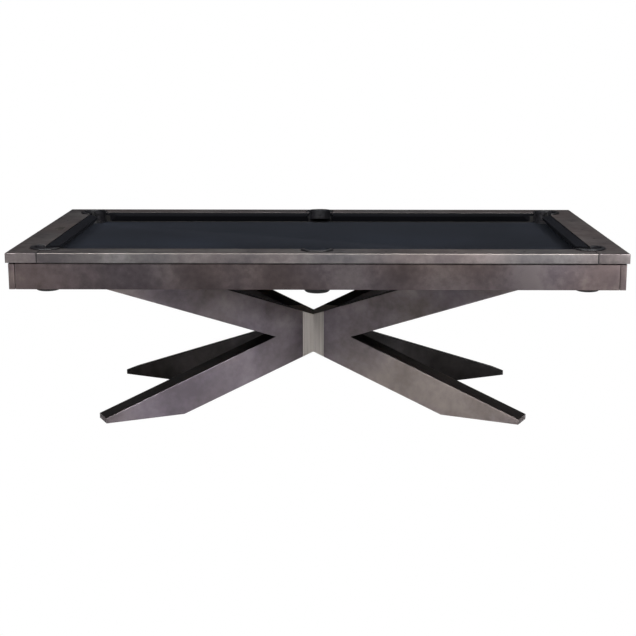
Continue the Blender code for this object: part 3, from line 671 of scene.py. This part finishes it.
def rim_sweep(centre, bearing, half_sweep, low, seat, top):
    """A rim's section carried round the pocket: x = r cos a, y = r sin a, for a within the sweep.

    The section's points are (across, rise): across runs from the bore, over the liner's wall at
    0.22, to the lip's outer edge at 1, and rise is a share of the crown above the seat. Over the
    taper at both ends u runs from 0 to 1, and the lip keeps a share sqrt(1 - (0.86 u)^2) of its
    width and 1 - 0.45 u^2 of its height.
    """
    wall = 0.22
    angle = np.linspace(-half_sweep, half_sweep, RIM_RINGS)
    u = np.clip((np.abs(angle) - (half_sweep - TAPER)) / TAPER, 0, 1)
    width = LIP_WIDTH * np.sqrt(1 - (0.86 * u) ** 2)
    crown = (top - seat) * (1 - 0.45 * u ** 2)
    section = softened([(0.0, 0.0), (0.0, 0.86), (0.42, 1.04), (0.86, 0.84), (1.0, 0.40), (0.86, 0.0),
                        (wall, 0.0)], [0.0, 0.16, 0.22, 0.20, 0.16, 0.04, 0.0], steps=6)
    across, rise = section.T
    on_wall = RIM_BORE + across / wall * (LINER_RADIUS - RIM_BORE)
    on_lip = LINER_RADIUS + (across - wall) / (1 - wall) * width[:, None]
    radius = np.where(across < 0.20, on_wall, on_lip)
    height = seat + rise * crown[:, None]
    # The liner below the seat: outer top, outer foot, inner foot.
    liner = np.array([(LINER_RADIUS, seat), (LINER_RADIUS, low), (RIM_BORE, low)])
    radius = np.concatenate([radius, np.tile(liner[:, 0], (RIM_RINGS, 1))], axis=1)
    height = np.concatenate([height, np.tile(liner[:, 1], (RIM_RINGS, 1))], axis=1)
    a = bearing + angle[:, None]
    points = np.stack([centre.x + radius * np.cos(a), centre.y + radius * np.sin(a), height], axis=-1)
    return points, tube_faces(*radius.shape)


POCKETS = [f"{row}_{column}" for row in ("front", "rear") for column in ("left", "middle", "right")]
cap_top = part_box("cap_front")[1].z
for name in POCKETS:
    centre, bearing = pocket_middle(name)
    low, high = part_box("pocket_rim_" + name)
    sweep = SIDE_SWEEP if name.endswith("middle") else CORNER_SWEEP
    points, faces = rim_sweep(centre, bearing, sweep, low.z, cap_top + FIT_GAP,
                              high.z - CROWN_MARGIN)
    rim = surface("rim_" + name, points, faces, rim_rubber)
    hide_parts("pocket_rim_" + name)

# ------------------------------------------------------------------------------ pocket cups
# Moulded bowls under the slate that catch and hold the balls. A collar runs up through the slate,
# a flange takes three screws, and a shallow rib round the wall stiffens it.

CUP_WALL = 0.003
CUP_RADIUS = 0.0565
CUP_BORE = CUP_RADIUS - CUP_WALL
FLOOR_RADIUS = 0.0465
RIB_RADIUS = 0.0580
RIB_LEVEL = 0.0535
RIB_WIDTH = 0.006
FLANGE_RADIUS = 0.0680
FLANGE_WALL = 0.003
SCREW_CIRCLE = 0.0625
SCREW_RADIUS = 0.0042

slate_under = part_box("slate_left")[0].z
for name in POCKETS:
    centre, bearing = pocket_middle(name)
    low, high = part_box("pocket_cup_" + name)
    flange_top = slate_under - FIT_GAP
    flange_under = flange_top - FLANGE_WALL
    rib_low = low.z + RIB_LEVEL
    rib_high = rib_low + RIB_WIDTH
    wall = [(0, low.z), (FLOOR_RADIUS, low.z), (CUP_RADIUS, low.z + 0.010),
            (CUP_RADIUS, rib_low - 0.0015), (CUP_RADIUS, rib_low), (RIB_RADIUS, rib_low + 0.001),
            (RIB_RADIUS, rib_high - 0.001), (CUP_RADIUS, rib_high), (CUP_RADIUS, flange_under),
            (FLANGE_RADIUS, flange_under), (FLANGE_RADIUS, flange_top), (CUP_RADIUS, flange_top),
            (CUP_RADIUS, high.z), (CUP_BORE, high.z), (CUP_BORE, low.z + 0.010),
            (FLOOR_RADIUS - 0.0005, low.z + CUP_WALL), (0, low.z + CUP_WALL)]
    rounds = [0, 0.006, 0.006, 0, 0.0006, 0.0006, 0.0006, 0.0006, 0.001, 0.0008, 0.0008, 0, 0.0008,
              0.0008, 0.005, 0.005, 0]
    points, faces = turned(softened(wall, rounds), (centre.x, centre.y), 64)
    cup = surface("cup_" + name, points, faces, cup_rubber)
    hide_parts("pocket_cup_" + name)
    # Three zinc plated pan-head screws hold the flange.
    for index in range(3):
        a = bearing + math.pi / 2 * (index - 1) + math.pi
        place = (centre.x + SCREW_CIRCLE * math.cos(a), centre.y + SCREW_CIRCLE * math.sin(a))
        head = softened([(0, flange_under - 0.0026), (0.0030, flange_under - 0.0024),
                         (SCREW_RADIUS, flange_under - 0.0002), (SCREW_RADIUS, flange_under),
                         (0, flange_under)], [0, 0.0008, 0.0001, 0, 0], steps=4)
        points, faces = turned(head, place, 20)
        surface(f"cup_screw_{name}_{index + 1}", points, faces, zinc)

# ------------------------------------------------------------------------------ row sights
# Blackened steel discs, 11 mm across, let into the caps: three on each half of a long side and
# three on each end.

SIGHT_RADIUS = 0.0055
SIGHT_STEP = 0.289
sight_steel = patinated_steel("blackened_steel_sights",
                              [(0.36, "#19181a"), (0.50, "#222022"), (0.64, "#2e2b2c")],
                              ("#ffffff", "#ffffff"), rough=(0.3, 0.4), metal=0.5)
cap_low, cap_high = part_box("cap_front")
left_low, left_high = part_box("cap_left")
sight_y = abs(cap_low.y + cap_high.y) / 2
sight_x = abs(left_low.x + left_high.x) / 2
places = [(sx * step * SIGHT_STEP, sy * sight_y)
          for sy in (-1, 1) for sx in (-1, 1) for step in (1, 2, 3)]
places += [(sx * sight_x, step * SIGHT_STEP) for sx in (-1, 1) for step in (-1, 0, 1)]
for index, place in enumerate(places):
    disc = softened([(0, cap_top + 0.0001), (SIGHT_RADIUS, cap_top + 0.0001),
                     (SIGHT_RADIUS, cap_top + 0.0005), (0, cap_top + 0.0006)],
                    [0, 0, 0.0003, 0], steps=4)
    points, faces = turned(disc, place, 24)
    surface(f"sight_{index + 1:02d}", points, faces, sight_steel)

# ------------------------------------------------------------------------------ nameplate
# A blank plate of brushed steel on the left end cap, 1 mm thick, with rounded corners and a rivet
# at each end.

plate_steel = linished_steel("linished_steel_plate", (640, 8, 640), ("#6b6460", "#7a736e", "#8a837d"))
PLATE_CORNER = 0.004
PLATE_CHAMFER = 0.0003
RIVET_INSET = 0.007
low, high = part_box("nameplate")
outline = softened([(low.x, low.y), (high.x, low.y), (high.x, high.y), (low.x, high.y)],
                   PLATE_CORNER, 8)
levels = [(0.0, low.z), (0.0, high.z - PLATE_CHAMFER), (PLATE_CHAMFER, high.z)]
middle = np.array([(low.x + high.x) / 2, (low.y + high.y) / 2])
size = np.array([high.x - low.x, high.y - low.y]) / 2
rings = [np.column_stack([middle + (outline - middle) * (1 - shrink / size),
                          np.full(len(outline), z)]) for shrink, z in levels]
plate = surface("blank_plate", rings, tube_faces(len(rings), len(outline)), plate_steel)
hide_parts("nameplate")
for index, y in enumerate((low.y + RIVET_INSET, high.y - RIVET_INSET)):
    head = softened([(0, high.z), (0.0018, high.z), (0.0014, high.z + 0.0006), (0, high.z + 0.0008)],
                    [0, 0, 0.0004, 0], steps=4)
    points, faces = turned(head, (middle[0], y), 16)
    surface(f"plate_rivet_{index + 1}", points, faces, plate_steel)

# ------------------------------------------------------------------------------ rail bolts
# Hexagon bolts with washers, up through the slate into the rails: three to each long rail half and
# five to each end rail. They show from below, outside the frame.

BOLT_ACROSS = 0.013
BOLT_HEAD = 0.0054
WASHER_RADIUS = 0.012
WASHER_WALL = 0.0016
BOLT_INSET = 0.045
LONG_BOLTS = (0.22, 0.55, 0.90)
END_BOLTS = (-0.42, -0.21, 0, 0.21, 0.42)
bolt_y = abs(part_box("rail_core_front_left")[1].y) + BOLT_INSET
bolt_x = abs(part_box("rail_core_left")[1].x) + BOLT_INSET
washer_under = slate_under - WASHER_WALL
spots = [(sx * x, sy * bolt_y) for sy in (-1, 1) for sx in (-1, 1) for x in LONG_BOLTS]
spots += [(sx * bolt_x, y) for sx in (-1, 1) for y in END_BOLTS]
for index, place in enumerate(spots):
    washer = softened([(0, slate_under), (WASHER_RADIUS, slate_under), (WASHER_RADIUS, washer_under),
                       (0, washer_under)], [0, 0.0003, 0.0005, 0], steps=3)
    points, faces = turned(washer, place, 24)
    surface(f"rail_washer_{index + 1:02d}", points, faces, zinc)
    points, faces = hexagon(washer_under - BOLT_HEAD, washer_under, BOLT_ACROSS, place)
    surface(f"rail_bolt_{index + 1:02d}", points, faces, zinc)

# ------------------------------------------------------------------------------ studio
# A pale floor that fades into a pale surround, a soft dome of light that is darker towards the
# horizon, and large soft lamps above. The camera stands in front, a little above the table.


def stage_surface(name, points, faces, light):
    """A backdrop that the camera sees and the object doesn't reflect; clear from its back."""
    mesh = bpy.data.meshes.new(name)
    mesh.from_pydata(points, [], faces)
    material, tree, shader = bare_finish(name)
    tree.nodes.remove(shader)
    glow = add(tree, "Emission", {"Color": (1, 1, 1, 1), "Strength": light})
    clear = add(tree, "BsdfTransparent")
    back = add(tree, "NewGeometry").outputs["Backfacing"]
    shown = add(tree, "MixShader", {0: back, 1: glow.outputs[0], 2: clear.outputs[0]})
    tree.links.new(shown.outputs[0], tree.nodes["Material Output"].inputs["Surface"])
    mesh.materials.append(material)
    obj = bpy.data.objects.new(name, mesh)
    bpy.context.scene.collection.objects.link(obj)
    obj.visible_diffuse = obj.visible_glossy = obj.visible_transmission = obj.visible_shadow = False
    return obj


REACH = 80.0
floor_corners = np.array([(-1, -1, 0), (1, -1, 0), (1, 1, 0), (-1, 1, 0)]) * REACH
stage_surface("pale_floor", floor_corners.tolist(), [(0, 1, 2, 3)], 1.0)

world = bpy.data.worlds.new("soft_dome")
bpy.context.scene.world = world
world.use_nodes = True
sky = world.node_tree
direction = add(sky, "TexCoord").outputs["Generated"]
split = add(sky, "SeparateXYZ", {"Vector": direction})
ramp = add(sky, "MapRange", {"Value": split.outputs["Z"], "From Min": 0.0, "From Max": 0.8,
                             "To Min": 0.02, "To Max": 0.10}, interpolation_type="SMOOTHSTEP")
sky.links.new(ramp.outputs["Result"], sky.nodes["Background"].inputs["Strength"])
sky.nodes["Background"].inputs["Color"].default_value = (1, 1, 1, 1)

around = np.linspace(0, 2 * math.pi, 48, endpoint=False)
rings_up = np.linspace(0, math.pi / 2, 12, endpoint=False)
dome = np.stack([REACH * np.cos(rings_up)[:, None] * np.cos(around),
                 REACH * np.cos(rings_up)[:, None] * np.sin(around),
                 REACH * np.sin(rings_up)[:, None] + 0 * around], axis=-1)
stage_surface("pale_surround", dome.reshape(-1, 3).tolist(),
              quads(len(rings_up), len(around), wrap_columns=True)[:, ::-1].tolist(), 1.0)


def soft_lamp(name, place, target, size, power):
    """A rectangular lamp at a place, turned to face a target."""
    data = bpy.data.lights.new(name, "AREA")
    data.shape = "RECTANGLE"
    data.size, data.size_y = size
    data.energy = power
    lamp = bpy.data.objects.new(name, data)
    lamp.location = place
    lamp.rotation_euler = (Vector(target) - Vector(place)).to_track_quat("-Z", "Y").to_euler()
    bpy.context.scene.collection.objects.link(lamp)
    return lamp


# The right lamp is the key; the left and middle ones fill, and the rear one lights the far caps.
soft_lamp("right_lamp", (3.2, -4.9, 3.9), (0.2, -0.4, 0.35), (2.6, 1.4), 460)
soft_lamp("left_lamp", (-3.2, -4.9, 3.9), (-0.2, -0.4, 0.35), (2.6, 1.4), 270)
soft_lamp("middle_lamp", (0.2, -5.6, 4.6), (0.0, -0.4, 0.4), (3.0, 1.2), 230)
soft_lamp("rear_lamp", (0.6, 3.4, 5.2), (0, 0.4, 0.4), (5.0, 1.6), 37)

# An unseen pale floor gives back the lamps' light from below, with the table's shadow in it.
bounce_mesh = bpy.data.meshes.new("bounce_floor")
bounce_mesh.from_pydata((floor_corners - (0, 0, 0.001)).tolist(), [], [(0, 1, 2, 3)])
bounce_mesh.materials.append(bare_finish("pale_paint", Base_Color=(0.3, 0.3, 0.3, 1), Roughness=0.9)[0])
bounce = bpy.data.objects.new("bounce_floor", bounce_mesh)
bpy.context.scene.collection.objects.link(bounce)
bounce.visible_camera = False

camera_data = bpy.data.cameras.new("camera")
camera_data.sensor_width = 36.0
camera_data.lens = 75.55
camera_data.clip_end = 400.0
camera = bpy.data.objects.new("camera", camera_data)
camera.location = (0.0611, -6.1950, 1.6649)
camera.rotation_euler = (math.radians(90 - 11.742), 0, math.radians(0.590))
bpy.context.scene.collection.objects.link(camera)
bpy.context.scene.camera = camera
bpy.context.scene.view_settings.view_transform = "Standard"
